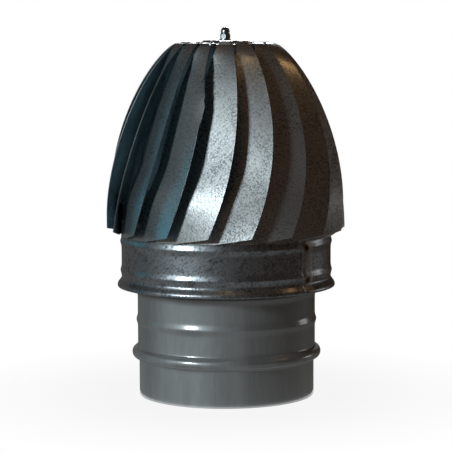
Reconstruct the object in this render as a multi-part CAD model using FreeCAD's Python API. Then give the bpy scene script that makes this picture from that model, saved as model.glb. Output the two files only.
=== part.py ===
import FreeCAD, Part
import math
import os

from FreeCAD import Vector

os.makedirs("parts", exist_ok=True)

# Rotating chimney cap for a round flue. Millimetres, +Z up, origin at the centre of the spigot's
# lower rim. Angles are counted from the front, which is -Y, towards +X.

# Clearances
weld_gap = 0.02             # between pieces that are clamped or pressed together
rivet_gap = 0.05            # round a rivet's shank
seat_gap = 0.12             # under the blades where they lie on the collar and on the top plate
running_gap = 0.04          # between a ball and its raceways

# Spigot: the fixed tube that plugs into the flue
plug_radius = 74.5
spigot_radius = 75.6
spigot_height = 120.0
spigot_sheet = 0.7
stop_bead_height = 36.4
stop_bead_out = 4.9
stop_bead_half = 5.2
stop_bead_face = 4.2
stop_bead_round = 3.6
stop_bead_root = 1.3
rib_heights = (64.3, 89.4)
rib_out = 1.3
rib_half = 5.0
rib_crest = 2.2
rib_root = 4.0

# Collar: the wide skirt at the foot of the turning head
collar_radius = 89.0
collar_sheet = 0.7
collar_bottom = 93.0
collar_top = 163.0
lip_out = 3.6
lip_height = 2.6
lip_flare = 4.8
lip_inset = 0.4
lip_corner = 1.0
lip_root = 2.5
hem_width = 2.0
hem_round = 0.9
hem_lift = 0.6
collar_rib_heights = (106.7, 131.2)
collar_rib_out = 1.1
collar_rib_half = 4.6
lap_angle = 56.0
lap_width = 12.0
lap_stop = 1.5

# Blades: twisted louvres from the collar to the top plate
blade_count = 18
blade_sheet = 0.7
blade_foot = 136.5
blade_corner_rise = 5.0
widest_height = 154.0
blade_flare = 12.3
crown_height = 297.0
crown_radius = 41.6
tab_length = 11.6
outline_rise_power = 1.9
outline_round_power = 1.35
crown_angle = 7.9
twist_angle = 17.4
twist_power = 2.4
blade_fold = 36.5
crown_fold = 27.5
fold_rise = 38.0
flat_length = 22.5
tail_length = 4.0
blade_overlap = 6.0
tab_sweep = 15.0
narrowing_start = 0.6
narrowing_power = 3
seat_overrun = 1.0
bend_start = 1.6
bend_end = 1.0
bend_drop = 0.35
seat_stations = 3
head_stations = 9
station_crowding = 1.5

# Top plate and the rivets of the blades
plate_inset = 0.8
plate_sheet = 0.8
plate_rim = 7.0
plate_corner = 3.0
plate_dish = 3.2
dish_radius = 18.0
dish_slope = 4.0
dish_corner = 2.0
rivet_radius = 1.5
rivet_head_radius = 2.7
rivet_head = 0.8
rivet_head_top = 1.6
rivet_tail_radius = 2.1
tab_rivet_inset = 6.1
tail_rivet_drop = 13.0

# Ball bearings, 8 x 22 x 7
bearing_bore = 4.0
bearing_radius = 11.0
bearing_width = 7.0
ball_radius = 1.984
ball_count = 7
pitch_radius = 7.5
inner_shoulder = 5.6
outer_shoulder = 9.4
shield_sheet = 0.3
shield_recess = 0.5
shield_gap = 0.2
cage_half_height = 2.6
cage_wall = 0.8
cage_gap = 0.12
upper_bearing = 107.0
lower_bearing = 66.0

# Bearing spider: hub and three arms inside the spigot
hub_radius = 14.5
hub_bottom = 60.0
hub_lip = 0.6
hub_shoulder = 9.6
arm_count = 3
arm_angle = 30.0
arm_sheet = 2.5
arm_hub_low = 76.0
arm_hub_high = 105.0
arm_wall_low = 98.0
arm_wall_high = 118.0
ear_sheet = 2.0
ear_width = 20.0
ear_rivet_spread = 6.0
grease_cap_sheet = 0.8
grease_cap_skirt = 3.5
grease_cap_corner = 1.2

# Spindle and what is on it
spindle_radius = 3.98
spindle_end_gap = 1.8
thread_radius = 2.5
thread_length = 22.0
circlip_sheet = 0.8
circlip_reach = 5.6
groove_depth = 0.2
hub_circlip_sheet = 1.0
hub_circlip_reach = 1.9
hub_groove_depth = 0.5
circlip_opening = 40.0
rain_cap_sheet = 1.4
rain_cap_gap = 1.0
rain_cap_skirt = 8.0
rain_cap_corner = 2.0
spacer_wall = 1.2
washer_radius = 5.0
washer_thickness = 1.0
washer_play = 0.2
nut_across_flats = 8.0
jam_nut_height = 2.7
cap_nut_hex = 4.2
cap_nut_height = 10.0
cap_nut_dome = 3.8
cap_nut_depth = 7.5
stud_end_gap = 0.5
nut_chamfer = 0.5
nut_chamfer_height = 0.3

# Collar spider: three-armed strip that ties the collar to the spindle
tie_drop = 14.0
tie_sheet = 2.0
tie_width = 14.0
tie_ear = 12.0
tie_rivet_rise = 7.8
tie_boss_radius = 8.5
tie_boss_height = 12.0
tie_gap = 3
set_screw_radius = 1.95
set_screw_length = 5.2
set_screw_edge = 0.8

# Places that follow from the sizes
blade_pitch = 360.0 / blade_count
blade_angles = [blade_pitch * k for k in range(blade_count)]
stop_bead_reach = spigot_radius + stop_bead_out
rib_reach = spigot_radius + rib_out
lip_reach = collar_radius + lip_out
collar_rib_reach = collar_radius + collar_rib_out
widest_radius = collar_radius + blade_flare
plate_radius = crown_radius - plate_inset
plate_top = crown_height + plate_dish
tab_rivet_radius = crown_radius - tab_rivet_inset
tab_end_radius = crown_radius - tab_length
blade_top = crown_height + seat_gap + blade_sheet / 2
collar_seat = collar_radius + seat_gap + blade_sheet / 2
upper_clip_low = upper_bearing + bearing_width + weld_gap
lower_clip_low = lower_bearing - weld_gap - circlip_sheet
jam_nut_top = plate_top - plate_sheet - 2 * weld_gap - washer_thickness
cap_nut_seat = plate_top + washer_thickness + 2 * weld_gap
tail_rivet_height = collar_top - tail_rivet_drop
tie_height = collar_top - tie_drop
tie_boss_low = tie_height + tie_sheet / 2 - tie_boss_height / 2
tie_rivet_height = tie_height + tie_rivet_rise
set_screw_height = tie_boss_low + set_screw_radius + set_screw_edge

axis = Vector(0, 0, 1)
origin = Vector(0, 0, 0)


def polar(radius, degrees, height):
    """Point at a radius, an angle from the front and a height."""
    turn = math.radians(degrees)
    return Vector(radius * math.sin(turn), -radius * math.cos(turn), height)


def outwards(degrees):
    """Unit vector that points away from the axis at an angle from the front."""
    return polar(1.0, degrees, 0.0)


def turned(shape, degrees):
    """Copy of a shape, turned about the axis."""
    copy = shape.copy()
    copy.rotate(origin, axis, degrees)
    return copy


def rounded_wire(corners):
    """Closed wire in the XZ plane through (radius, height, fillet) corners."""
    joints = []
    count = len(corners)
    for i in range(count):
        before = Vector(corners[i - 1][0], 0, corners[i - 1][1])
        here = Vector(corners[i][0], 0, corners[i][1])
        after = Vector(corners[(i + 1) % count][0], 0, corners[(i + 1) % count][1])
        fillet = corners[i][2]
        if fillet <= 0:
            joints.append((here, None, here))
            continue
        back = (before - here).normalize()
        ahead = (after - here).normalize()
        half = back.getAngle(ahead) / 2
        room = min(before.distanceToPoint(here), after.distanceToPoint(here)) * 0.48
        setback = min(fillet / math.tan(half), room)
        fillet = setback * math.tan(half)
        inward = (back + ahead).normalize()
        centre = here + inward * (fillet / math.sin(half))
        joints.append((here + back * setback, centre - inward * fillet, here + ahead * setback))
    edges = []
    for i in range(count):
        start, middle, end = joints[i]
        if middle is not None:
            edges.append(Part.Arc(start, middle, end).toShape())
        following = joints[(i + 1) % count][0]
        if end.distanceToPoint(following) > 1e-6:
            edges.append(Part.LineSegment(end, following).toShape())
    return Part.Wire(edges)


def offset_corners(corners, distance):
    """The corners of an open outline, moved to its left, with fillets that stay concentric."""
    sides = []
    for i in range(len(corners) - 1):
        run = Vector(corners[i + 1][0] - corners[i][0], 0, corners[i + 1][1] - corners[i][1])
        run.normalize()
        sides.append((run, Vector(-run.z, 0, run.x)))
    moved = []
    for i, (radius, height, fillet) in enumerate(corners):
        run_in, left_in = sides[max(i - 1, 0)]
        run_out, left_out = sides[min(i, len(sides) - 1)]
        shift = (left_in + left_out) * (distance / (1 + left_in.dot(left_out)))
        turns_left = run_in.x * run_out.z - run_in.z * run_out.x > 0
        if fillet > 0:
            fillet = fillet - distance if turns_left else fillet + distance
        moved.append((radius + shift.x, height + shift.z, fillet))
    return moved


def sheet_ring(corners, inside, outside=0.0, start=0.0, sweep=360.0):
    """Ring of sheet metal: an outline from bottom to top, given its thickness and revolved."""
    outer = offset_corners(corners, -outside)
    inner = offset_corners(corners, inside)
    face = Part.Face(rounded_wire(outer + inner[::-1]))
    ring = face.revolve(origin, axis, sweep)
    return turned(ring, start - 90.0)


def ring(inner, outer, low, high):
    """Plain ring or disc about the axis."""
    body = Part.makeCylinder(outer, high - low, Vector(0, 0, low))
    if inner > 0:
        body = body.cut(Part.makeCylinder(inner, high - low, Vector(0, 0, low)))
    return body


def rib(wall, height, reach, half, root, crest):
    """Corners of a rolled rib that stands out of a wall."""
    return [(wall, height - half, root), (reach, height, crest), (wall, height + half, root)]


def save(shape, name):
    """Write one node, in its own file."""
    shape.exportStep("parts/" + name + ".step")


def rivet(seat, direction, grip):
    """Rivet along a direction: its head lies on the seat point, its shank goes back by the grip."""
    shank = Part.makeCylinder(rivet_radius, grip, seat, direction * -1)
    head = Part.makeCone(rivet_head_radius, rivet_head_top, rivet_head, seat, direction)
    tail = Part.makeCylinder(rivet_tail_radius, rivet_head, seat - direction * grip, direction * -1)
    return shank.fuse([head, tail]).removeSplitter()


def hexagon(across, low, height):
    """Hexagonal prism about the axis with its corners chamfered at both ends."""
    corner = across / 2 / math.cos(math.pi / 6)
    points = [polar(corner, 60.0 * k, low) for k in range(7)]
    prism = Part.Face(Part.makePolygon(points)).extrude(Vector(0, 0, height))
    turning = Part.makePolygon([Vector(0, 0, low), Vector(corner - nut_chamfer, 0, low),
                                Vector(corner, 0, low + nut_chamfer_height),
                                Vector(corner, 0, low + height - nut_chamfer_height),
                                Vector(corner - nut_chamfer, 0, low + height),
                                Vector(0, 0, low + height), Vector(0, 0, low)])
    return prism.common(Part.Face(turning).revolve(origin, axis, 360))


# Spigot
def make_spigot():
    outline = [(plug_radius, 0.0, 0.0),
               (plug_radius, stop_bead_height - stop_bead_half, stop_bead_root),
               (stop_bead_reach, stop_bead_height - stop_bead_face, stop_bead_round),
               (stop_bead_reach, stop_bead_height + stop_bead_face, stop_bead_round),
               (spigot_radius, stop_bead_height + stop_bead_half, stop_bead_root)]
    for height in rib_heights:
        outline += rib(spigot_radius, height, rib_reach, rib_half, rib_root, rib_crest)
    outline.append((spigot_radius, spigot_height, 0.0))
    tube = sheet_ring(outline, spigot_sheet)
    for place in ear_rivet_places():
        tube = tube.cut(drill(place, spigot_radius, spigot_sheet))
    return tube


def drill(place, radius, wall):
    """Radial drill for a rivet at an (angle, height) place, through a wall of that outer radius."""
    angle, height = place
    start = polar(radius + wall, angle, height)
    return Part.makeCylinder(rivet_radius + rivet_gap, 3 * wall, start, outwards(angle) * -1)


def ear_rivet_places():
    """Angle and height of each rivet of the bearing spider."""
    height = (arm_wall_low + arm_wall_high) / 2
    spread = math.degrees(ear_rivet_spread / spigot_radius)
    return [(arm_angle + 360.0 / arm_count * k + side * spread, height)
            for k in range(arm_count) for side in (-1, 1)]


# Bearing spider and what holds it
def make_bearing_spider():
    hub_top = upper_bearing + bearing_width + hub_lip
    seat = bearing_radius + weld_gap
    clip_low = lower_bearing - weld_gap - hub_circlip_sheet - weld_gap
    wall = spigot_radius - spigot_sheet - weld_gap
    spider = ring(0, hub_radius, hub_bottom, hub_top)
    for k in range(arm_count):
        angle = arm_angle + 360.0 / arm_count * k
        arm = Part.Face(Part.makePolygon([
            Vector(0, -arm_sheet / 2, arm_hub_low),
            Vector(wall - ear_sheet / 2, -arm_sheet / 2, arm_wall_low),
            Vector(wall - ear_sheet / 2, -arm_sheet / 2, arm_wall_high),
            Vector(0, -arm_sheet / 2, arm_hub_high), Vector(0, -arm_sheet / 2, arm_hub_low)]))
        arm = arm.extrude(Vector(0, arm_sheet, 0))
        ear = ring(wall - ear_sheet, wall, arm_wall_low, arm_wall_high)
        ear = ear.common(Part.makeBox(wall, ear_width, arm_wall_high, Vector(0, -ear_width / 2, 0)))
        spider = spider.fuse(turned(arm.fuse(ear), angle - 90.0))
    bores = [ring(0, hub_shoulder, hub_bottom, hub_top),
             ring(0, seat, upper_bearing, hub_top),
             ring(0, seat, hub_bottom, lower_bearing + bearing_width),
             ring(0, seat + hub_groove_depth, clip_low, lower_bearing - weld_gap / 2)]
    spider = spider.cut(bores)
    for place in ear_rivet_places():
        spider = spider.cut(drill(place, wall, ear_sheet))
    return spider.removeSplitter()


def make_spider_rivets():
    grip = spigot_sheet + ear_sheet + 4 * weld_gap
    rivets = [rivet(polar(spigot_radius + weld_gap, angle, height), outwards(angle), grip)
              for angle, height in ear_rivet_places()]
    return Part.makeCompound(rivets)


def make_hub_circlip():
    outer = bearing_radius + hub_groove_depth
    low = lower_bearing - weld_gap - hub_circlip_sheet
    clip = ring(outer - hub_circlip_reach - hub_groove_depth, outer, low, low + hub_circlip_sheet)
    return clip.cut(wedge(circlip_opening, outer + 1, low, hub_circlip_sheet))


def wedge(degrees, radius, low, height):
    """Pie slice about the axis, centred on the front."""
    piece = Part.makeCylinder(radius, height, Vector(0, 0, low), axis, degrees)
    return turned(piece, -90.0 - degrees / 2)


def make_grease_cap():
    outline = [(bearing_radius, hub_bottom + grease_cap_skirt, 0.0),
               (bearing_radius, hub_bottom, grease_cap_corner),
               (0.0, hub_bottom, 0.0)]
    return sheet_ring(outline, 0.0, grease_cap_sheet)


# Ball bearings
def make_outer_ring(low):
    body = ring(outer_shoulder, bearing_radius, low, low + bearing_width)
    body = body.cut(raceway(low))
    recess = outer_shoulder + shield_recess
    for start in (low, low + bearing_width - shield_recess):
        body = body.cut(ring(0, recess, start, start + shield_recess))
    return body


def raceway(low):
    """Torus that cuts the groove in both rings of a bearing."""
    centre = Vector(0, 0, low + bearing_width / 2)
    return Part.makeTorus(pitch_radius, ball_radius + running_gap, centre, axis)


def make_inner_ring(low):
    return ring(bearing_bore, inner_shoulder, low, low + bearing_width).cut(raceway(low))


def ball_places(low):
    return [polar(pitch_radius, 360.0 / ball_count * k, low + bearing_width / 2) for k in range(ball_count)]


def make_balls(low):
    return Part.makeCompound([Part.makeSphere(ball_radius, place) for place in ball_places(low)])


def make_cage(low):
    middle = low + bearing_width / 2
    cage = ring(pitch_radius - cage_wall, pitch_radius + cage_wall, middle - cage_half_height,
                middle + cage_half_height)
    pockets = [Part.makeCylinder(ball_radius + cage_gap, pitch_radius + 2 * cage_wall,
                                 Vector(0, 0, middle), place - Vector(0, 0, middle))
               for place in ball_places(low)]
    return cage.cut(pockets)


def make_shields(low):
    inner = inner_shoulder + shield_gap
    outer = outer_shoulder + shield_recess - weld_gap
    lower = low + shield_recess - weld_gap - shield_sheet
    upper = low + bearing_width - shield_recess + weld_gap
    return Part.makeCompound([ring(inner, outer, lower, lower + shield_sheet),
                              ring(inner, outer, upper, upper + shield_sheet)])


# Spindle and what is on it
def make_spindle():
    bottom = hub_bottom + grease_cap_sheet + spindle_end_gap
    top = cap_nut_seat + cap_nut_depth - stud_end_gap
    shaft = ring(0, spindle_radius, bottom, top - thread_length)
    stud = ring(0, thread_radius, top - thread_length, top)
    spindle = shaft.fuse(stud)
    for low in (upper_clip_low, lower_clip_low):
        groove = ring(spindle_radius - groove_depth, spindle_radius + 1, low - weld_gap / 2,
                      low + circlip_sheet + weld_gap / 2)
        spindle = spindle.cut(groove)
    return spindle


def make_circlip(low):
    inner = spindle_radius - groove_depth + weld_gap
    clip = ring(inner, circlip_reach, low, low + circlip_sheet)
    return clip.cut(wedge(circlip_opening, circlip_reach + 1, low, circlip_sheet))


def make_spacer_tube():
    inner = spindle_radius + weld_gap
    low = lower_bearing + bearing_width + weld_gap
    return ring(inner, inner + spacer_wall, low, upper_bearing - weld_gap)


def make_rain_cap():
    hole = spindle_radius + weld_gap
    skirt = hub_radius + rain_cap_gap + rain_cap_sheet
    boss_low = upper_clip_low + circlip_sheet + weld_gap
    roof = boss_low + rain_cap_sheet
    outline = [(skirt, roof - rain_cap_skirt, 0.0), (skirt, roof + rain_cap_sheet, rain_cap_corner),
               (hole, roof + rain_cap_sheet, 0.0)]
    boss = ring(hole, hole + spacer_wall, boss_low, roof + rain_cap_sheet / 2)
    return sheet_ring(outline, rain_cap_sheet).fuse(boss)


def make_washer(low):
    return ring(thread_radius + washer_play, washer_radius, low, low + washer_thickness)


def make_jam_nut():
    low = jam_nut_top - jam_nut_height
    nut = hexagon(nut_across_flats, low, jam_nut_height)
    return nut.cut(ring(0, thread_radius + weld_gap, low, low + jam_nut_height))


def make_cap_nut():
    low = cap_nut_seat
    centre = Vector(0, 0, low + cap_nut_height - cap_nut_dome)
    dome = ring(0, cap_nut_dome, low + cap_nut_hex / 2, centre.z)
    dome = dome.fuse(Part.makeSphere(cap_nut_dome, centre))
    nut = hexagon(nut_across_flats, low, cap_nut_hex).fuse(dome)
    return nut.cut(ring(0, thread_radius + weld_gap, low, low + cap_nut_depth))


# Collar
def make_collar():
    lip_top = collar_bottom + lip_height
    outline = [(lip_reach - lip_inset, collar_bottom + hem_lift, 0.0),
               (lip_reach - lip_inset, lip_top, lip_corner),
               (collar_radius, lip_top + lip_flare, lip_root)]
    for height in collar_rib_heights:
        outline += rib(collar_radius, height, collar_rib_reach, collar_rib_half, rib_root, rib_crest)
    lap_top = blade_foot - lap_stop
    lap_sweep = math.degrees(lap_width / collar_radius)
    skirt = sheet_ring(outline + [(collar_radius, collar_top, 0.0)], collar_sheet)
    lap = sheet_ring(outline + [(collar_radius, lap_top, 0.0)], collar_sheet, collar_sheet,
                     lap_angle - lap_sweep, lap_sweep)
    hem_inside = lip_reach - hem_width
    hem = Part.Face(rounded_wire([(hem_inside, collar_bottom, hem_round),
                                  (lip_reach, collar_bottom, hem_round), (lip_reach, lip_top, hem_round),
                                  (hem_inside, lip_top, hem_round)]))
    collar = skirt.fuse([lap, hem.revolve(origin, axis, 360)])
    for angle in blade_angles:
        place = (angle + seat_angle(tail_rivet_height), tail_rivet_height)
        collar = collar.cut(drill(place, collar_radius, collar_sheet))
    for angle in tie_angles():
        collar = collar.cut(drill((angle, tie_rivet_height), collar_radius, collar_sheet))
    return collar


# Blades
def head_radius(height):
    """Radius of the middle of the blades' sheet at their free edges."""
    rise = (height - widest_height) / (blade_top - widest_height)
    rise = min(max(rise, 0.0), 1.0)
    fullness = (1 - rise ** outline_rise_power) ** (1 / outline_round_power)
    return crown_radius + (widest_radius - blade_sheet / 2 - crown_radius) * fullness


def climb(height):
    """Share of a blade's height, from 0 at its foot to 1 at the crown."""
    return (height - blade_foot) / (crown_height - blade_foot)


def free_edge_angle(height):
    """Angle of the free edge of the first blade, which leans back as it climbs."""
    left = min(max(1 - climb(height), 0.0), 1.0)
    return crown_angle - twist_angle * left ** twist_power


def narrowing(height):
    """Share of a blade's narrowing towards its tab, from 0 to 1 at the crown."""
    return min(max((climb(height) - narrowing_start) / (1 - narrowing_start), 0.0), 1.0) ** narrowing_power


def fold_angle(height):
    """Angle between a free edge and the line where its blade is nearest to the axis."""
    if height <= collar_top + seat_overrun:
        return math.degrees(math.acos(collar_seat / head_radius(height)))
    seat_fold = math.degrees(math.acos(collar_seat / head_radius(collar_top)))
    rise = min((height - collar_top - seat_overrun) / fold_rise, 1.0)
    fold = seat_fold + (blade_fold - seat_fold) * rise ** 2 * (3 - 2 * rise)
    return fold - (blade_fold - crown_fold) * narrowing(height)


def blade_reach(height):
    """Angle from a blade's free edge to its hidden edge, which gets narrow towards the crown."""
    full = blade_pitch + blade_overlap
    if height <= collar_top:
        full = fold_angle(height) + math.degrees(math.atan(tail_length / collar_radius))
    return full - (full - tab_sweep) * narrowing(height)


def hidden_radius(height):
    """Radius of a blade's hidden edge, on the chord that goes inwards from its free edge."""
    inner = head_radius(height) * math.cos(math.radians(fold_angle(height)))
    hidden = inner / math.cos(math.radians(blade_reach(height) - fold_angle(height)))
    flattening = max(1 - (blade_top - height) / flat_length, 0.0) ** 2
    return hidden + (head_radius(height) - hidden) * flattening


def seat_angle(height):
    """Angle of the line where the first blade lies on the collar."""
    return free_edge_angle(height) - fold_angle(height)


def tab_rivet_angle():
    return crown_angle - tab_sweep / 2


def blade_stations():
    """Free-edge and hidden-edge points of the first blade, from its foot to the end of its tab."""
    foot = blade_foot + blade_corner_rise
    stations = [(polar(head_radius(foot), free_edge_angle(foot), foot),
                 polar(hidden_radius(foot), free_edge_angle(foot) - blade_reach(foot), blade_foot))]
    heights = [foot + (collar_top - foot) * k / seat_stations for k in range(1, seat_stations + 1)]
    for k in range(1, head_stations):
        share = 1 - (1 - k / head_stations) ** station_crowding
        heights.append(collar_top + (blade_top - collar_top) * share)
    for height in heights:
        angle = free_edge_angle(height)
        stations.append((polar(head_radius(height), angle, height),
                         polar(hidden_radius(height), angle - blade_reach(height), height)))
    tab_start = crown_radius - bend_end
    for radius, height in ((crown_radius + bend_start, blade_top - bend_drop),
                           (tab_start, blade_top),
                           ((tab_start + tab_rivet_radius) / 2, blade_top),
                           (tab_rivet_radius, blade_top),
                           ((tab_rivet_radius + tab_end_radius) / 2, blade_top),
                           (tab_end_radius, blade_top)):
        stations.append((polar(radius, crown_angle, height),
                         polar(radius, crown_angle - tab_sweep, height)))
    return stations


def make_blade():
    stations = blade_stations()
    sections = []
    for i, (free, hidden) in enumerate(stations):
        before = stations[max(i - 1, 0)]
        after = stations[min(i + 1, len(stations) - 1)]
        path = (after[0] + after[1] - before[0] - before[1]).normalize()
        width = (free - hidden).normalize()
        half = width.cross(path).normalize() * (blade_sheet / 2)
        sections.append(Part.makePolygon([free + half, hidden + half, hidden - half, free - half,
                                          free + half]))
    blade = Part.makeLoft(sections, True, False)
    tail_hole = drill((seat_angle(tail_rivet_height), tail_rivet_height), collar_seat, 3 * blade_sheet)
    tab_hole = Part.makeCylinder(rivet_radius + rivet_gap, 4 * blade_sheet,
                                 polar(tab_rivet_radius, tab_rivet_angle(), blade_top - 2 * blade_sheet))
    return blade.cut([tail_hole, tab_hole])


def make_blade_rivets():
    outside = collar_radius + seat_gap + blade_sheet + 2 * rivet_gap
    grip = outside - (collar_radius - collar_sheet) + rivet_gap
    rivets = []
    for angle in blade_angles:
        place = angle + seat_angle(tail_rivet_height)
        rivets.append(rivet(polar(outside, place, tail_rivet_height), outwards(place), grip))
    return Part.makeCompound(rivets)


# Top plate
def make_top_plate():
    outline = [(plate_radius, crown_height - plate_rim, 0.0), (plate_radius, crown_height, plate_corner),
               (dish_radius + dish_slope, crown_height, dish_corner),
               (dish_radius, plate_top, dish_corner),
               (thread_radius + washer_play, plate_top, 0.0)]
    plate = sheet_ring(outline, plate_sheet)
    for angle in blade_angles:
        start = polar(tab_rivet_radius, angle + tab_rivet_angle(), crown_height - 2 * plate_sheet)
        plate = plate.cut(Part.makeCylinder(rivet_radius + rivet_gap, 3 * plate_sheet, start))
    return plate


def make_top_rivets():
    outside = crown_height + seat_gap + blade_sheet + rivet_gap
    grip = outside - (crown_height - plate_sheet) + weld_gap
    rivets = [rivet(polar(tab_rivet_radius, angle + tab_rivet_angle(), outside), axis, grip)
              for angle in blade_angles]
    return Part.makeCompound(rivets)


# Collar spider
def tie_angles():
    """Angles of the arms, whose rivets lie midway between two blades."""
    first = seat_angle(tie_rivet_height) + (tie_gap - 0.5) * blade_pitch
    return [first + 360.0 / arm_count * k for k in range(arm_count)]


def set_screw_direction():
    return outwards(tie_angles()[0] + 180.0 / arm_count)


def make_collar_spider():
    wall = collar_radius - collar_sheet - weld_gap
    spider = ring(0, tie_boss_radius, tie_boss_low, tie_boss_low + tie_boss_height)
    for angle in tie_angles():
        strip = Part.makeBox(wall - tie_sheet / 2, tie_width, tie_sheet,
                             Vector(0, -tie_width / 2, tie_height))
        ear = ring(wall - tie_sheet, wall, tie_height, tie_height + tie_ear)
        ear = ear.common(Part.makeBox(wall, tie_width, collar_top, Vector(0, -tie_width / 2, 0)))
        spider = spider.fuse(turned(strip.fuse(ear), angle - 90.0))
    spider = spider.cut(ring(0, spindle_radius + weld_gap, tie_boss_low, tie_boss_low + tie_boss_height))
    for angle in tie_angles():
        spider = spider.cut(drill((angle, tie_rivet_height), wall, tie_sheet))
    screw_hole = Part.makeCylinder(set_screw_radius + rivet_gap, tie_boss_radius + 1,
                                   Vector(0, 0, set_screw_height), set_screw_direction())
    return spider.cut(screw_hole).removeSplitter()


def make_set_screw():
    start = set_screw_direction() * (spindle_radius + weld_gap) + Vector(0, 0, set_screw_height)
    screw = Part.makeCylinder(set_screw_radius, set_screw_length, start, set_screw_direction())
    return screw.cut(ring(0, spindle_radius + weld_gap, 0, crown_height))


def make_collar_rivets():
    outside = collar_radius + weld_gap
    grip = collar_sheet + tie_sheet + 4 * weld_gap
    rivets = [rivet(polar(outside, angle, tie_rivet_height), outwards(angle), grip)
              for angle in tie_angles()]
    return Part.makeCompound(rivets)


save(make_spigot(), "spigot")
save(make_bearing_spider(), "bearing_spider")
save(make_spider_rivets(), "spider_rivets")
save(make_hub_circlip(), "hub_circlip")
save(make_grease_cap(), "grease_cap")

for side, low in (("upper", upper_bearing), ("lower", lower_bearing)):
    save(make_outer_ring(low), side + "_outer_ring")
    save(make_shields(low), side + "_shields")
    save(make_balls(low), side + "_balls")
    save(make_cage(low), side + "_cage")
    save(make_inner_ring(low), side + "_inner_ring")

save(make_spindle(), "spindle")
save(make_circlip(upper_clip_low), "upper_circlip")
save(make_circlip(lower_clip_low), "lower_circlip")
save(make_spacer_tube(), "spacer_tube")
save(make_rain_cap(), "rain_cap")
save(make_jam_nut(), "jam_nut")
save(make_washer(jam_nut_top + weld_gap), "inner_washer")
save(make_washer(plate_top + weld_gap), "top_washer")
save(make_cap_nut(), "cap_nut")

save(make_collar(), "collar")
save(make_collar_spider(), "collar_spider")
save(make_collar_rivets(), "collar_rivets")
save(make_set_screw(), "set_screw")
save(make_top_plate(), "top_plate")
save(make_top_rivets(), "top_rivets")
save(make_blade_rivets(), "blade_rivets")
first_blade = make_blade()
for number, angle in enumerate(blade_angles, start=1):
    save(turned(first_blade, angle), "blade_%02d" % number)
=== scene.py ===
import math

import bmesh
import bpy
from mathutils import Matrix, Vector


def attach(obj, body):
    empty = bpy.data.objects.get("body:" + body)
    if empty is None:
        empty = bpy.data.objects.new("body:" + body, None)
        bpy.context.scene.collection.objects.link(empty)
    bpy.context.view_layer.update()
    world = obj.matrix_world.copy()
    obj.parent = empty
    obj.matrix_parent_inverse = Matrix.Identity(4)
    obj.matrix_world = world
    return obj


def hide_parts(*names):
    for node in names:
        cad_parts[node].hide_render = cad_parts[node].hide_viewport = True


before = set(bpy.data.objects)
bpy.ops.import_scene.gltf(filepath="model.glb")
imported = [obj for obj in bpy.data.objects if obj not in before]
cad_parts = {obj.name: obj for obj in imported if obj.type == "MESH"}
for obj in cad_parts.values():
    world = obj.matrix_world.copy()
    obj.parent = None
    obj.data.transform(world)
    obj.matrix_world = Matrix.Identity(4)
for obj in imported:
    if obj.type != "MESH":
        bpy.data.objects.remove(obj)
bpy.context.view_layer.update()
bpy.ops.object.select_all(action="DESELECT")


# Spigot: the fixed tube of smooth galvanised sheet that plugs into the flue. It is rolled and
# beaded: a big bead stops it on the flue, and two small ribs stiffen it. The bearing spider is
# riveted in it.
plug_radius = 0.0745
tube_radius = 0.0756
tube_sheet = 0.0007
cut_edge = 0.00012
stop_bead = [(0.0748, 0.0311), (0.0768, 0.0317), (0.0797, 0.0330), (0.0808, 0.0364),
             (0.0797, 0.0398), (0.0770, 0.0411), (0.0758, 0.0419)]
tube_rib = [(0.0060, 0.0), (0.0042, 0.0001), (0.0020, 0.0007), (0.0, 0.0014)]
tube_rib_heights = (0.0643, 0.0894)


def straight(radius, *heights):
    """Outline points of a plain length of tube."""
    return [(radius, height) for height in heights]


def pressed_rib(radius, middle, profile):
    """Outline points of a rib, whose profile pairs the distance from its middle with its rise."""
    below = [(radius + rise, middle - away) for away, rise in profile]
    above = [(radius + rise, middle + away) for away, rise in reversed(profile[:-1])]
    return below + above


def drawn_ring(name, outline, sides):
    """Ring of thin sheet: a circle, extruded rim by rim along an outline of (radius, height)."""
    radius, height = outline[0]
    bpy.ops.object.select_all(action="DESELECT")
    bpy.ops.mesh.primitive_circle_add(vertices=sides, radius=radius, location=(0, 0, height))
    ring = bpy.context.object
    ring.name = ring.data.name = name
    bpy.ops.object.transform_apply(location=True, rotation=False, scale=False)
    bpy.ops.object.mode_set(mode="EDIT")
    bpy.ops.mesh.select_mode(type="EDGE")
    bpy.ops.mesh.select_all(action="SELECT")
    for wider, higher in outline[1:]:
        bpy.ops.mesh.extrude_edges_move(TRANSFORM_OT_translate={"value": (0, 0, higher - height)})
        factor = wider / radius
        bpy.ops.transform.resize(value=(factor, factor, 1), center_override=(0, 0, higher))
        radius, height = wider, higher
    bpy.ops.mesh.select_all(action="SELECT")
    bpy.ops.mesh.normals_make_consistent(inside=False)
    bpy.ops.object.mode_set(mode="OBJECT")
    return ring


def pick(piece):
    """Selects one piece alone and makes it the active one."""
    bpy.ops.object.select_all(action="DESELECT")
    piece.select_set(True)
    bpy.context.view_layer.objects.active = piece


def finish_sheet(piece, smoothing, thickness, edge, offset=-1.0, rim_slot=0, inner_slot=0,
                 crease=35):
    """Smooths a shell, gives it its wall and breaks its cut edges."""
    pick(piece)
    if smoothing:
        rounding = piece.modifiers.new("rounding", "SUBSURF")
        rounding.levels = rounding.render_levels = smoothing
        bpy.ops.object.modifier_apply(modifier="rounding")
    wall = piece.modifiers.new("wall", "SOLIDIFY")
    wall.thickness = thickness
    wall.offset = offset
    wall.use_even_offset = True
    wall.material_offset_rim = rim_slot
    wall.material_offset = inner_slot
    bpy.ops.object.modifier_apply(modifier="wall")
    broken = piece.modifiers.new("broken_edge", "BEVEL")
    broken.width = edge
    broken.segments = 2
    broken.limit_method = "ANGLE"
    broken.angle_limit = math.radians(50)
    bpy.ops.object.modifier_apply(modifier="broken_edge")
    bpy.ops.object.shade_smooth_by_angle(angle=math.radians(crease))
    piece.select_set(False)


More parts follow.
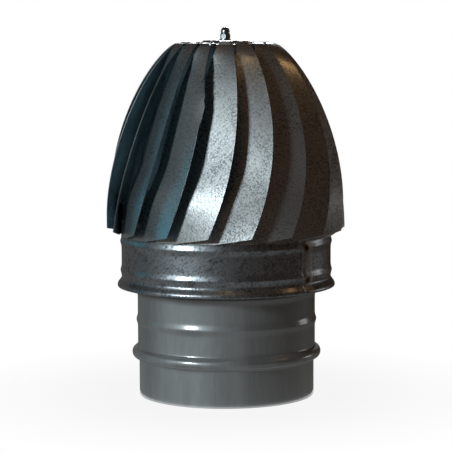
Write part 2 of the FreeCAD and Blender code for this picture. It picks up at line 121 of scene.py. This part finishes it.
def add_node(tree, kind, inputs, operation=None, data_type=None):
    """Adds a shader node. Each input takes a plain value, or the output that feeds it."""
    node = tree.nodes.new(kind)
    if operation:
        node.operation = operation
    if data_type:
        node.data_type = data_type
    for socket, value in inputs.items():
        if isinstance(value, bpy.types.NodeSocket):
            tree.links.new(value, node.inputs[socket])
        else:
            node.inputs[socket].default_value = value
    return node


def maths(tree, operation, *values):
    """Output of a Math node."""
    return add_node(tree, "ShaderNodeMath", dict(enumerate(values)), operation).outputs[0]


def graded(tree, value, start, end, low=0.0, high=1.0):
    """Output that goes from low to high while a value goes from start to end."""
    ends = {"Value": value, "From Min": start, "From Max": end, "To Min": low, "To Max": high}
    return add_node(tree, "ShaderNodeMapRange", ends).outputs["Result"]


def mottled_steel(name, dark, light, crystal, grain, dark_rough, light_rough, metal,
                  patch=0.03, streak=(1, 1, 1)):
    """Sheet steel: zinc crystals of one size over broad cloudy patches, on a slightly wavy face.

    Grain is how much a crystal's own tone counts beside the patch that it lies in.
    """
    material = bpy.data.materials.new(name)
    material.use_nodes = True
    tree = material.node_tree
    shader = tree.nodes["Principled BSDF"]
    shader.inputs["Metallic"].default_value = metal
    place = tree.nodes.new("ShaderNodeTexCoord").outputs["Object"]
    place = add_node(tree, "ShaderNodeMapping", {"Vector": place, "Scale": streak}).outputs[0]
    wander = add_node(tree, "ShaderNodeTexNoise",
                      {"Vector": place, "Scale": 0.6 / crystal, "Detail": 2})
    # Sockets 4, 5 and output 1 of a Mix node are its vectors.
    ragged = add_node(tree, "ShaderNodeMix",
                      {"Factor": 0.0012, 4: place, 5: wander.outputs["Color"]}, None, "VECTOR")
    crystals = add_node(tree, "ShaderNodeTexVoronoi",
                        {"Vector": ragged.outputs[1], "Scale": 1.0 / crystal})
    cell = add_node(tree, "ShaderNodeSeparateColor", {"Color": crystals.outputs["Color"]})
    clouds = add_node(tree, "ShaderNodeTexNoise",
                      {"Vector": place, "Scale": 1.0 / patch, "Detail": 3})
    tone = maths(tree, "MULTIPLY_ADD", cell.outputs["Red"], grain, clouds.outputs["Fac"])
    colours = add_node(tree, "ShaderNodeValToRGB", {"Fac": tone})
    first, last = colours.color_ramp.elements
    first.position = 0.38
    first.color = (*dark, 1)
    last.position = 0.62 + grain
    last.color = (*light, 1)
    tree.links.new(colours.outputs["Color"], shader.inputs["Base Color"])
    tree.links.new(graded(tree, tone, 0.3, 0.7 + grain, dark_rough, light_rough),
                   shader.inputs["Roughness"])
    relief = add_node(tree, "ShaderNodeBump",
                      {"Strength": 0.6, "Distance": crystal * 0.15 * grain,
                       "Height": wander.outputs["Fac"]})
    tree.links.new(relief.outputs["Normal"], shader.inputs["Normal"])
    tree.links.new(relief.outputs["Normal"], shader.inputs["Coat Normal"])
    return material


def passivate(material, roughness, ior):
    """Gives a steel the clear glossy film that protects its zinc."""
    film = material.node_tree.nodes["Principled BSDF"].inputs
    film["Coat Weight"].default_value = 1.0
    film["Coat Roughness"].default_value = roughness
    film["Coat IOR"].default_value = ior


spigot_outline = straight(plug_radius, 0.0, 0.0012, 0.012, 0.026, 0.0296) + stop_bead
spigot_outline += straight(tube_radius, 0.0435, 0.0550)
for rib_height in tube_rib_heights:
    spigot_outline += pressed_rib(tube_radius, rib_height, tube_rib)
spigot_outline += straight(tube_radius, 0.108, 0.1188, 0.120)
spigot = drawn_ring("spigot_tube", spigot_outline, 96)
finish_sheet(spigot, 2, tube_sheet, cut_edge)
tube_steel = mottled_steel("smooth_galvanised", dark=(0.34, 0.365, 0.38),
                           light=(0.46, 0.485, 0.50), crystal=0.0014, grain=0.15,
                           dark_rough=0.46, light_rough=0.56, metal=0.6, patch=0.02,
                           streak=(1, 1, 0.12))
passivate(tube_steel, roughness=0.17, ior=2.3)
spigot.data.materials.append(tube_steel)
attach(spigot, "base")
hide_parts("spigot")


# Collar: the wide skirt of spangled galvanised sheet under the blades, which turns with them. Two
# ribs stiffen it, and its lower rim is flared and hemmed. The collar spider is riveted in it.
collar_radius = 0.0890
collar_sheet = 0.0007
collar_rib = [(0.0052, 0.0), (0.0038, 0.0001), (0.0017, 0.0006), (0.0, 0.0012)]
collar_rib_heights = (0.1067, 0.1312)
hem_inside = [(0.0908, 0.0955), (0.0906, 0.0940), (0.0910, 0.0930), (0.0918, 0.0928),
              (0.0925, 0.0932)]
flare = [(0.0926, 0.0943), (0.0924, 0.0956), (0.0913, 0.0972), (0.0898, 0.0990),
         (0.0891, 0.1004), (0.0890, 0.1014)]

ribbed_outline = flare + pressed_rib(collar_radius, collar_rib_heights[0], collar_rib)
ribbed_outline += straight(collar_radius, 0.1190)
ribbed_outline += pressed_rib(collar_radius, collar_rib_heights[1], collar_rib)
collar_outline = hem_inside + ribbed_outline + straight(collar_radius, 0.148, 0.162, 0.163)
collar = drawn_ring("collar_skirt", collar_outline, 96)
finish_sheet(collar, 2, collar_sheet, cut_edge)
spangle = mottled_steel("spangled_galvanised", dark=(0.09, 0.098, 0.105),
                        light=(0.50, 0.55, 0.60), crystal=0.0012, grain=0.6,
                        dark_rough=0.52, light_rough=0.34, metal=1.0, patch=0.008)
passivate(spangle, roughness=0.2, ior=2.1)
collar.data.materials.append(spangle)
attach(collar, "head")
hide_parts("collar")


# Collar lap: the strip where the end of the collar's sheet lies over its start, on the right. It
# is the same galvanised sheet, held by two spot welds that have burnt the zinc brown and black.
# Its tones are painted lighter than the collar's, a painted highlight; the weld burns are real.
lap_sheet = 0.0006
lap_lift = 0.00075
lap_start = math.radians(44.5)
lap_end = math.radians(51.9)
lap_bent = 0.02
weld_radius = 0.0902
weld_places = ((math.radians(46.7), 0.1306), (math.radians(47.8), 0.1041))
brown_halo = (0.0042, (0.20, 0.11, 0.05))
black_core = (0.0018, (0.03, 0.018, 0.012))


def around(radius, angle, height):
    """Point at a radius, an angle from the front and a height."""
    return Vector((radius * math.sin(angle), -radius * math.cos(angle), height))


def heading(point):
    """Angle of a point from the front."""
    return math.atan2(point.x, -point.y)


def trim(point, normal):
    """Cuts off what lies behind a plane, in edit mode."""
    bpy.ops.mesh.select_all(action="SELECT")
    bpy.ops.mesh.bisect(plane_co=point, plane_no=normal, clear_inner=True)


def select_points(piece, wanted):
    """Selects the points of a mesh that a test picks, in edit mode."""
    mesh = bmesh.from_edit_mesh(piece.data)
    for vert in mesh.verts:
        vert.select = wanted(vert.co)
    mesh.select_flush_mode()
    bmesh.update_edit_mesh(piece.data)


def tinted(tree, colour, tint, share):
    """Colour output that turns into a plain tint by a share."""
    # Sockets 6, 7 and output 2 of a Mix node are its colours.
    parts = {"Factor": share, 6: colour, 7: (*tint, 1)}
    return add_node(tree, "ShaderNodeMix", parts, None, "RGBA").outputs[2]


lap_outline = [(radius + lap_lift, height) for radius, height in ribbed_outline]
lap = drawn_ring("collar_lap", lap_outline, 360)
bpy.ops.object.mode_set(mode="EDIT")
trim((0, 0, 0), (math.cos(lap_start), math.sin(lap_start), 0))
trim((0, 0, 0), (-math.cos(lap_end), -math.sin(lap_end), 0))
select_points(lap, lambda point: heading(point) < lap_start + lap_bent)
factor = 1 - lap_sheet / collar_radius
bpy.ops.transform.resize(value=(factor, factor, 1), center_override=(0, 0, 0))
bpy.ops.object.mode_set(mode="OBJECT")
finish_sheet(lap, 1, lap_sheet, 0.0001)
# Its base tones are lighter than the collar's sheet: a painted highlight. The weld burns are real
# stains.
burnt_lap_with_painted_highlight = mottled_steel("burnt_lap_painted_highlight", dark=(0.34, 0.335, 0.33), light=(0.66, 0.65, 0.64),
                         crystal=0.0012, grain=0.6, dark_rough=0.52, light_rough=0.34,
                         metal=1.0, patch=0.008)
tree = burnt_lap_with_painted_highlight.node_tree
shader = tree.nodes["Principled BSDF"]
colour = shader.inputs["Base Color"].links[0].from_socket
place = tree.nodes.new("ShaderNodeTexCoord").outputs["Object"]
for weld_angle, weld_height in weld_places:
    weld = {0: place, 1: around(weld_radius, weld_angle, weld_height)}
    away = add_node(tree, "ShaderNodeVectorMath", weld, "DISTANCE").outputs["Value"]
    for reach, burn in (brown_halo, black_core):
        colour = tinted(tree, colour, burn, graded(tree, away, reach, reach * 0.5))
tree.links.new(colour, shader.inputs["Base Color"])
lap.data.materials.append(burnt_lap_with_painted_highlight)
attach(lap, "head")


# Louvre blades: eighteen strips of matt galvanised sheet. Each is twisted, folded to lie on the
# collar at its foot, and bent over the top plate at its crown, where it is riveted.
blade_count = 18
blade_sheet = 0.0007
blade_edge = 0.0001
seat_gap = 0.00012
blade_foot = 0.1365
blade_corner = 0.1415
collar_seat = collar_radius + seat_gap + blade_sheet / 2
collar_top = 0.163
crown_height = 0.2970
blade_top = crown_height + seat_gap + blade_sheet / 2
shoulder_height = 0.2905
widest_height = 0.154
widest_radius = 0.1013 - blade_sheet / 2
crown_radius = 0.0416
crown_angle = math.radians(7.9)
blade_twist = math.radians(17.4)
blade_fold = math.radians(36.5)
crown_fold = math.radians(27.5)
fold_length = 0.038
blade_reach = math.radians(26)
foot_overlap = 0.004
tab_sweep = math.radians(15)
tuck_depth = 0.0225
fold_start = 0.001
narrow_from = 0.6
crown_roundness = 1.9
waist_roundness = 1.35
edge_curl = 2.4
shoulder_radii = (0.0490, 0.0472, 0.0456, 0.0442, 0.0431, 0.0424)
tab_radii = (0.0414, 0.0395, 0.0370, 0.0345, 0.0320, 0.0300)


def clamped(value):
    """Value held between 0 and 1."""
    return min(max(value, 0), 1)


def head_radius(height):
    """Radius of the blades' free edges at a height."""
    rise = clamped((height - widest_height) / (blade_top - widest_height))
    bulge = (1 - rise ** crown_roundness) ** (1 / waist_roundness)
    return crown_radius + (widest_radius - crown_radius) * bulge


def head_height(radius):
    """Height at which the blades' free edges have a radius."""
    share = (radius - crown_radius) / (widest_radius - crown_radius)
    rise = (1 - share ** waist_roundness) ** (1 / crown_roundness)
    return widest_height + (blade_top - widest_height) * rise


def climb(height):
    """Share of the way from a blade's foot to the crown."""
    return (height - blade_foot) / (crown_height - blade_foot)


def edge_angle(height):
    """Angle of the first blade's free edge at a height."""
    return crown_angle - blade_twist * clamped(1 - climb(height)) ** edge_curl


def blade_row(height):
    """Points of a blade at its free edge and at its hidden edge."""
    radius = head_radius(height)
    narrowing = clamped((climb(height) - narrow_from) / (1 - narrow_from)) ** 3
    seat_fold = math.acos(collar_seat / head_radius(min(height, collar_top)))
    rise = clamped((height - collar_top - fold_start) / fold_length)
    fold = seat_fold + (blade_fold - seat_fold) * rise ** 2 * (3 - 2 * rise)
    fold -= (blade_fold - crown_fold) * narrowing
    reach = blade_reach
    if height < collar_top + 0.0001:
        reach = fold + math.atan(foot_overlap / collar_radius)
    reach += (tab_sweep - reach) * narrowing
    hidden = radius * math.cos(fold) / math.cos(reach - fold)
    hidden += (radius - hidden) * max(1 - (blade_top - height) / tuck_depth, 0) ** 2
    angle = edge_angle(height)
    return around(radius, angle, height), around(hidden, angle - reach, height)


blade_rows = [blade_row(blade_foot)]
for k in range(1, 7):
    blade_rows.append(blade_row(blade_foot + (collar_top - blade_foot) * k / 6))
for k in range(1, 27):
    rise = 1 - (1 - k / 26) ** 1.25
    blade_rows.append(blade_row(collar_top + (shoulder_height - collar_top) * rise))
for radius in shoulder_radii:
    blade_rows.append(blade_row(head_height(radius)))
for radius in tab_radii:
    blade_rows.append((around(radius, crown_angle, blade_top),
                       around(radius, crown_angle - tab_sweep, blade_top)))

bpy.ops.mesh.primitive_grid_add(x_subdivisions=6, y_subdivisions=1, size=1, location=(0.5, 0, 0))
blade = bpy.context.object
blade.name = blade.data.name = "louvre_01"
bpy.ops.object.transform_apply(location=True, rotation=False, scale=False)
bpy.ops.object.mode_set(mode="EDIT")
bpy.ops.mesh.select_mode(type="VERT")
select_points(blade, lambda point: point.y > 0)
bpy.ops.mesh.delete(type="VERT")
bpy.ops.mesh.select_all(action="SELECT")
last_free = Vector((0, -0.5, 0))
last_hidden = Vector((1, -0.5, 0))
for row, (free, hidden) in enumerate(blade_rows):
    step = free - last_free
    if row:
        bpy.ops.mesh.extrude_edges_move(TRANSFORM_OT_translate={"value": step})
    else:
        bpy.ops.transform.translate(value=step)
    before = last_hidden - last_free
    after = hidden - free
    turn = math.atan2(after.y, after.x) - math.atan2(before.y, before.x)
    bpy.ops.transform.rotate(value=-turn, orient_axis="Z", center_override=free)
    factor = after.xy.length / before.xy.length
    bpy.ops.transform.resize(value=(factor, factor, 1), center_override=free)
    last_free, last_hidden = free, hidden

# The foot is cut off aslant, from its corner up to the free edge, and that corner is rounded.
foot_reach = 0.030
corner_radius = 0.0022
corner_back = 0.0005413
corner_rise = 0.0073201
foot_free, foot_hidden = blade_rows[0]
inwards = (foot_hidden - foot_free).normalized()
upwards = Vector((0, 0, 1))
slope = (blade_corner - blade_foot) / foot_reach
trim(foot_free + inwards * foot_reach, inwards * slope + upwards)
corner_middle = foot_free - inwards * corner_back + upwards * corner_rise
for degrees in (66, 52, 37):
    facing = inwards * math.cos(math.radians(degrees)) + upwards * math.sin(math.radians(degrees))
    trim(corner_middle - facing * corner_radius, facing)
bpy.ops.mesh.select_all(action="SELECT")
bpy.ops.mesh.normals_make_consistent(inside=False)
bpy.ops.object.mode_set(mode="OBJECT")

blade_steel = mottled_steel("matt_galvanised", dark=(0.22, 0.24, 0.255),
                            light=(0.72, 0.76, 0.78), crystal=0.0010, grain=0.9,
                            dark_rough=0.54, light_rough=0.38, metal=1.0, patch=0.02)
passivate(blade_steel, roughness=0.19, ior=2.9)
cut_steel = mottled_steel("cut_edge", dark=(0.20, 0.20, 0.20), light=(0.32, 0.32, 0.32),
                          crystal=0.0004, grain=0.2, dark_rough=0.5, light_rough=0.6, metal=0.9)
# The blades' inner faces, the same sheet, get darker blue-green tones: painted shade in the
# recesses between blades and a painted blue-green reflection.
inner_painted_shade_teal = mottled_steel("inner_painted_shade_and_teal_reflection", dark=(0.09, 0.17, 0.21), light=(0.17, 0.30, 0.36),
                             crystal=0.0014, grain=0.5, dark_rough=0.42, light_rough=0.60,
                             metal=0.7, patch=0.02)
for finish in (blade_steel, cut_steel, inner_painted_shade_teal):
    blade.data.materials.append(finish)
louvres = [blade]
for number in range(2, blade_count + 1):
    pick(blade)
    bpy.ops.object.duplicate(linked=False)
    louvre = bpy.context.object
    louvre.name = louvre.data.name = "louvre_%02d" % number
    louvre.rotation_euler.z = math.radians(360 / blade_count * (number - 1))
    bpy.ops.object.transform_apply(location=False, rotation=True, scale=False)
    louvres.append(louvre)

# The last blade's free edge is dented: parts of it, between two heights, are pushed aside.
dents = ((0.2350, 0.2430, 0.0012), (0.2430, 0.2510, 0.0018), (0.2510, 0.2590, 0.0003),
         (0.2590, 0.2670, -0.0012), (0.2670, 0.2965, -0.0024))
dent_limit = math.radians(21)
dented = louvres[-1]
pick(dented)
bpy.ops.object.mode_set(mode="EDIT")
for low, high, push in dents:
    select_points(dented, lambda point: low < point.z < high and
                  heading(point) > edge_angle(point.z) - dent_limit)
    bpy.ops.transform.translate(value=(push, 0.2 * push, 0))
bpy.ops.object.mode_set(mode="OBJECT")

# The tabs of two blades stand up a little where they bend over the plate.
tab_bend = (0.0405, 0.0430)
tab_lift = 0.0020
for louvre in louvres[:2]:
    pick(louvre)
    bpy.ops.object.mode_set(mode="EDIT")
    select_points(louvre, lambda point: tab_bend[0] < point.xy.length < tab_bend[1])
    bpy.ops.transform.translate(value=(0, 0, tab_lift))
    bpy.ops.object.mode_set(mode="OBJECT")

# Slot 1 is the cut rim, and slot 2 the inner faces with their painted shade and blue-green
# reflection.
for number, louvre in enumerate(louvres, start=1):
    finish_sheet(louvre, 0, blade_sheet, blade_edge, offset=0.0, rim_slot=1, inner_slot=2,
                 crease=20)
    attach(louvre, "head")
    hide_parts("blade_%02d" % number)


# Domed nut: a bright zinc-plated steel nut, 8 mm over its flats, turned from hexagon bar. Its
# chamfered hexagon carries a dome, and its blind bore is screwed on the spindle's thread.
nut_low = 0.30124
nut_flats = 0.008
nut_height = 0.0042
nut_turn = math.radians(7)
chamfer_radius = 0.00456
dome_radius = 0.0038
dome_middle = nut_low + 0.0062
bore_radius = 0.00256
bore_length = 0.0095
bore_top = nut_low + 0.0075

hexagon_middle = (0, 0, nut_low + nut_height / 2)
bpy.ops.mesh.primitive_cylinder_add(vertices=6, radius=nut_flats / math.sqrt(3),
                                    depth=nut_height, location=hexagon_middle,
                                    rotation=(0, 0, nut_turn))
nut = bpy.context.object
nut.name = nut.data.name = "domed_nut"
bpy.ops.object.transform_apply(location=True, rotation=True, scale=False)
bpy.ops.mesh.primitive_cylinder_add(vertices=72, radius=chamfer_radius, depth=nut_height,
                                    location=hexagon_middle)
turned = bpy.context.object
bpy.ops.object.transform_apply(location=True, rotation=False, scale=False)
chamfer = turned.modifiers.new("chamfer", "BEVEL")
chamfer.width = 0.0007
chamfer.limit_method = "ANGLE"
chamfer.angle_limit = math.radians(50)
bpy.ops.object.modifier_apply(modifier="chamfer")
dome_outline = [(0.0036, nut_low + nut_height / 2), (0.0036, nut_low + 0.0038),
                (0.00355, nut_low + 0.0044), (dome_radius, nut_low + 0.0047),
                (dome_radius, dome_middle)]
for degrees in range(8, 89, 8):
    dome_outline.append((dome_radius * math.cos(math.radians(degrees)),
                         dome_middle + dome_radius * math.sin(math.radians(degrees))))
dome = drawn_ring("nut_dome", dome_outline, 72)
bpy.ops.object.mode_set(mode="EDIT")
bpy.ops.mesh.select_all(action="SELECT")
bpy.ops.mesh.region_to_loop()
bpy.ops.mesh.edge_face_add()
bpy.ops.mesh.select_all(action="SELECT")
bpy.ops.mesh.normals_make_consistent(inside=False)
bpy.ops.object.mode_set(mode="OBJECT")
bpy.ops.object.select_all(action="DESELECT")
bpy.ops.mesh.primitive_cylinder_add(vertices=48, radius=bore_radius, depth=bore_length,
                                    location=(0, 0, bore_top - bore_length / 2))
bore = bpy.context.object
bpy.context.view_layer.objects.active = nut
for other, action in ((turned, "INTERSECT"), (dome, "UNION"), (bore, "DIFFERENCE")):
    cut = nut.modifiers.new("cut", "BOOLEAN")
    cut.operation = action
    cut.solver = "EXACT"
    cut.object = other
    bpy.ops.object.modifier_apply(modifier="cut")
    bpy.data.objects.remove(other)
pick(nut)
bpy.ops.object.shade_smooth_by_angle(angle=math.radians(30))
nut.select_set(False)
nut.data.materials.clear()
nut.data.materials.append(mottled_steel("bright_zinc", dark=(0.50, 0.54, 0.58),
                                        light=(0.64, 0.68, 0.72), crystal=0.0006, grain=0.2,
                                        dark_rough=0.22, light_rough=0.32, metal=1.0))
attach(nut, "head")
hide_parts("cap_nut")


# Hidden pieces: the spiders, bearings, spindle and fasteners keep their own solids. Each metal has
# a fine grain and worn, uneven gloss, and the two mouldings are matt.
zinc = mottled_steel("zinc_plate", dark=(0.50, 0.50, 0.49), light=(0.66, 0.66, 0.65),
                     crystal=0.0008, grain=0.2, dark_rough=0.25, light_rough=0.45, metal=1.0)
turned_steel = mottled_steel("turned_steel", dark=(0.42, 0.42, 0.43), light=(0.56, 0.56, 0.57),
                             crystal=0.0005, grain=0.2, dark_rough=0.18, light_rough=0.35,
                             metal=1.0, patch=0.01, streak=(1, 1, 6))
blued = mottled_steel("blued_spring_steel", dark=(0.06, 0.06, 0.075), light=(0.13, 0.13, 0.15),
                      crystal=0.0006, grain=0.2, dark_rough=0.3, light_rough=0.45, metal=0.9)
ground = mottled_steel("ground_steel", dark=(0.66, 0.66, 0.68), light=(0.78, 0.78, 0.80),
                       crystal=0.0004, grain=0.1, dark_rough=0.06, light_rough=0.16, metal=1.0)
moulded = mottled_steel("black_moulding", dark=(0.018, 0.018, 0.02), light=(0.035, 0.035, 0.037),
                        crystal=0.0005, grain=0.3, dark_rough=0.45, light_rough=0.6, metal=0.0)
nylon = mottled_steel("bearing_cage_nylon", dark=(0.40, 0.32, 0.20), light=(0.52, 0.43, 0.29),
                      crystal=0.0005, grain=0.2, dark_rough=0.4, light_rough=0.55, metal=0.0)
finished_nodes = (
    (zinc, ("bearing_spider", "collar_spider", "spider_rivets", "collar_rivets", "blade_rivets",
            "top_rivets", "jam_nut", "inner_washer", "top_washer", "grease_cap")),
    (blade_steel, ("top_plate",)),
    (turned_steel, ("spindle", "spacer_tube", "upper_shields", "lower_shields")),
    (blued, ("set_screw", "upper_circlip", "lower_circlip", "hub_circlip")),
    (ground, ("upper_outer_ring", "lower_outer_ring", "upper_inner_ring", "lower_inner_ring",
              "upper_balls", "lower_balls")),
    (nylon, ("upper_cage", "lower_cage")),
    (moulded, ("rain_cap",)))
for finish, names in finished_nodes:
    for name in names:
        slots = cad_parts[name].data.materials
        slots.clear()
        slots.append(finish)


# Floor and world: a broad sheet of white paper in a white room. The camera and the metal see both
# at full white, a little darker on the paper round the foot, where the cap shades it.
def seen_or_mirrored(tree):
    """Output that is 1 where a camera, a glossy or a transmission ray arrives."""
    path = tree.nodes.new("ShaderNodeLightPath").outputs
    direct = maths(tree, "MAXIMUM", path["Is Camera Ray"], path["Is Glossy Ray"])
    return maths(tree, "MAXIMUM", direct, path["Is Transmission Ray"])


floor_drop = 0.0002
shade_start, shade_end = 0.1, 0.26
shaded_white = 0.9
bpy.ops.mesh.primitive_circle_add(vertices=96, radius=30, fill_type="NGON",
                                  location=(0, 0, -floor_drop))
floor = bpy.context.object
floor.name = "floor"
paper = bpy.data.materials.new("white_paper")
paper.use_nodes = True
tree = paper.node_tree
matt = tree.nodes["Principled BSDF"]
matt.inputs["Base Color"].default_value = (0.85, 0.85, 0.85, 1)
matt.inputs["Roughness"].default_value = 1.0
matt.inputs["Specular IOR Level"].default_value = 0.0
white = add_node(tree, "ShaderNodeEmission", {"Color": (1, 1, 1, 1)})
place = tree.nodes.new("ShaderNodeTexCoord").outputs["Object"]
away = add_node(tree, "ShaderNodeVectorMath", {0: place}, "LENGTH").outputs["Value"]
whiter = graded(tree, away, shade_start, shade_end, shaded_white, 1.0)
share = maths(tree, "MULTIPLY", seen_or_mirrored(tree), whiter)
sheet = add_node(tree, "ShaderNodeMixShader",
                 {"Fac": share, 1: matt.outputs[0], 2: white.outputs[0]})
tree.links.new(sheet.outputs[0], tree.nodes["Material Output"].inputs["Surface"])
floor.data.materials.append(paper)

world = bpy.data.worlds.new("studio")
bpy.context.scene.world = world
world.use_nodes = True
tree = world.node_tree
tree.nodes.clear()
seen = add_node(tree, "ShaderNodeBackground", {"Color": (1, 1, 1, 1)})
fill = add_node(tree, "ShaderNodeBackground", {"Color": (0.5, 0.5, 0.52, 1), "Strength": 0.5})
blend = add_node(tree, "ShaderNodeMixShader",
                 {"Fac": seen_or_mirrored(tree), 1: fill.outputs[0], 2: seen.outputs[0]})
add_node(tree, "ShaderNodeOutputWorld", {"Surface": blend.outputs[0]})


# Drape: dark cloth that hangs round and over the cap, out of the camera's sight, so that the metal
# mirrors a dark room. It has a blue-green patch at the back on the left, a pale table edge near the
# foot on the left, and an opening on the right through which the white room shows.
drape_radius = 3.2
drape_foot = 0.001
paper_reach = 0.077
opening = (math.radians(106), math.radians(122))
opening_heights = (0.01, 0.5)
slit = (math.radians(110), math.radians(115))
slit_top = 0.2
dark_brown = (0.026, 0.016, 0.011)
blue_green = (0.03, 0.31, 0.43)
table_grey = (0.14, 0.142, 0.138)
table_middle = (-0.32, -0.14, 0)
behind_left = (-0.8, 0.6, 0)


def cut_away(piece, wanted):
    """Deletes the faces whose middles a test picks."""
    bpy.ops.object.mode_set(mode="EDIT")
    bpy.ops.mesh.select_mode(type="FACE")
    mesh = bmesh.from_edit_mesh(piece.data)
    for face in mesh.faces:
        face.select = wanted(face.calc_center_median())
    bmesh.update_edit_mesh(piece.data)
    bpy.ops.mesh.delete(type="FACE")
    bpy.ops.object.mode_set(mode="OBJECT")


def self_lit(piece, name):
    """Hides a piece from the camera and gives it a plain self-lit finish. Returns its shader."""
    material = bpy.data.materials.new(name)
    material.use_nodes = True
    tree = material.node_tree
    tree.nodes.remove(tree.nodes["Principled BSDF"])
    glow = tree.nodes.new("ShaderNodeEmission")
    tree.links.new(glow.outputs[0], tree.nodes["Material Output"].inputs["Surface"])
    piece.data.materials.append(material)
    piece.visible_camera = False
    return glow


bpy.ops.object.select_all(action="DESELECT")
bpy.ops.mesh.primitive_uv_sphere_add(segments=64, ring_count=32, radius=drape_radius,
                                     location=(0, 0, drape_foot))
drape = bpy.context.object
drape.name = "drape"
bpy.ops.object.transform_apply(location=True, rotation=False, scale=False)
bpy.ops.object.mode_set(mode="EDIT")
bpy.ops.mesh.select_mode(type="EDGE")
trim((0, 0, drape_foot), (0, 0, 1))
bpy.ops.mesh.extrude_edges_move(TRANSFORM_OT_translate={"value": (0, 0, 0)})
factor = paper_reach / drape_radius
bpy.ops.transform.resize(value=(factor, factor, 1), center_override=(0, 0, drape_foot))
bpy.ops.object.mode_set(mode="OBJECT")
cut_away(drape, lambda middle: (
    opening[0] < heading(middle) < opening[1]
    and opening_heights[0] < middle.z < opening_heights[1]
    or slit[0] < heading(middle) < slit[1] and middle.z < slit_top))
glow = self_lit(drape, "dark_drape")
tree = glow.id_data
place = tree.nodes.new("ShaderNodeTexCoord").outputs["Object"]
height = add_node(tree, "ShaderNodeSeparateXYZ", {"Vector": place}).outputs["Z"]
across = add_node(tree, "ShaderNodeVectorMath", {0: place, 1: behind_left}, "DOT_PRODUCT")
band = maths(tree, "MULTIPLY", graded(tree, height, 0.05, 0.35), graded(tree, height, 1.3, 0.8))
patch = maths(tree, "MULTIPLY", graded(tree, across.outputs["Value"], 2.6, 3.0), band)
dye = add_node(tree, "ShaderNodeValToRGB", {"Fac": patch})
dye.color_ramp.elements[0].color = (*dark_brown, 1)
dye.color_ramp.elements[1].color = (*blue_green, 1)
away = add_node(tree, "ShaderNodeVectorMath", {0: place, 1: table_middle}, "DISTANCE")
near = graded(tree, away.outputs["Value"], 0.3, 0.9, 1.0, 0.0)
tree.links.new(tinted(tree, dye.outputs["Color"], table_grey, near), glow.inputs["Color"])


# Grey card: a low curved board close to the cap at the back on the left, out of the camera's sight.
# The lower rims mirror it as a neutral grey instead of the blue-green patch.
card_radius = 0.22
card_height = 0.155
card_middle = 0.0785
card_ends = (math.radians(-176), math.radians(-92))
card_grey = (0.085, 0.078, 0.072)

bpy.ops.object.select_all(action="DESELECT")
bpy.ops.mesh.primitive_cylinder_add(vertices=72, radius=card_radius, depth=card_height,
                                    end_fill_type="NOTHING", location=(0, 0, card_middle))
card = bpy.context.object
card.name = "grey_card"
bpy.ops.object.transform_apply(location=True, rotation=False, scale=False)
cut_away(card, lambda middle: not card_ends[0] < heading(middle) < card_ends[1])
self_lit(card, "grey_board").inputs["Color"].default_value = (*card_grey, 1)
card.visible_shadow = False


# Lamps: a cool soft box on the left lights the blades, a long warm strip over the front and a small
# warm lamp high on the right give the golden glints, and a plain soft box lights the back.
aim_height = 0.18
lamp_distance = 2.6
cool = (0.86, 0.97, 1.0)


def area_lamp(name, place, size, power, colour):
    """Square lamp at a place, facing down."""
    data = bpy.data.lights.new(name, "AREA")
    data.size = size
    data.energy = power
    data.color = colour
    lamp = bpy.data.objects.new(name, data)
    lamp.location = place
    bpy.context.scene.collection.objects.link(lamp)
    return lamp


def aimed_lamp(name, angle, rise, size, power, colour):
    """Square lamp at an angle from the front and a rise, aimed at the cap."""
    flat = lamp_distance * math.cos(math.radians(rise))
    up = lamp_distance * math.sin(math.radians(rise))
    place = around(flat, math.radians(angle), aim_height + up)
    lamp = area_lamp(name, place, size, power, colour)
    inwards = Vector((0, 0, aim_height)) - place
    lamp.rotation_euler = inwards.to_track_quat("-Z", "Y").to_euler()


aimed_lamp("key", angle=-46, rise=18, size=0.42, power=29.5, colour=cool)
warm_strip = area_lamp("warm_strip", (-0.02, -1.12, 2.0), size=0.06, power=0.45,
                       colour=(1.0, 0.64, 0.30))
warm_strip.data.shape = "RECTANGLE"
warm_strip.data.size_y = 0.8
warm_strip.rotation_euler = (0, 0, math.radians(-19))
aimed_lamp("warm_side", angle=92, rise=43, size=0.2, power=0.5, colour=(1.0, 0.60, 0.26))
aimed_lamp("back_light", angle=176, rise=24, size=0.6, power=26, colour=(0.95, 0.98, 1.0))


# Camera: a long lens in front of the cap, level with its crown and looking slightly down, with the
# small turns that match the photograph's frame.
look_down = 0.101
camera_data = bpy.data.cameras.new("camera")
camera_data.lens = 145.9
camera_data.sensor_width = 36
camera = bpy.data.objects.new("camera", camera_data)
camera.location = (0, -1.55, 0.300)
camera.rotation_euler = (math.radians(90) - look_down, 0.004, -0.0004)
bpy.context.scene.collection.objects.link(camera)
bpy.context.scene.camera = camera
bpy.context.scene.view_settings.view_transform = "Standard"
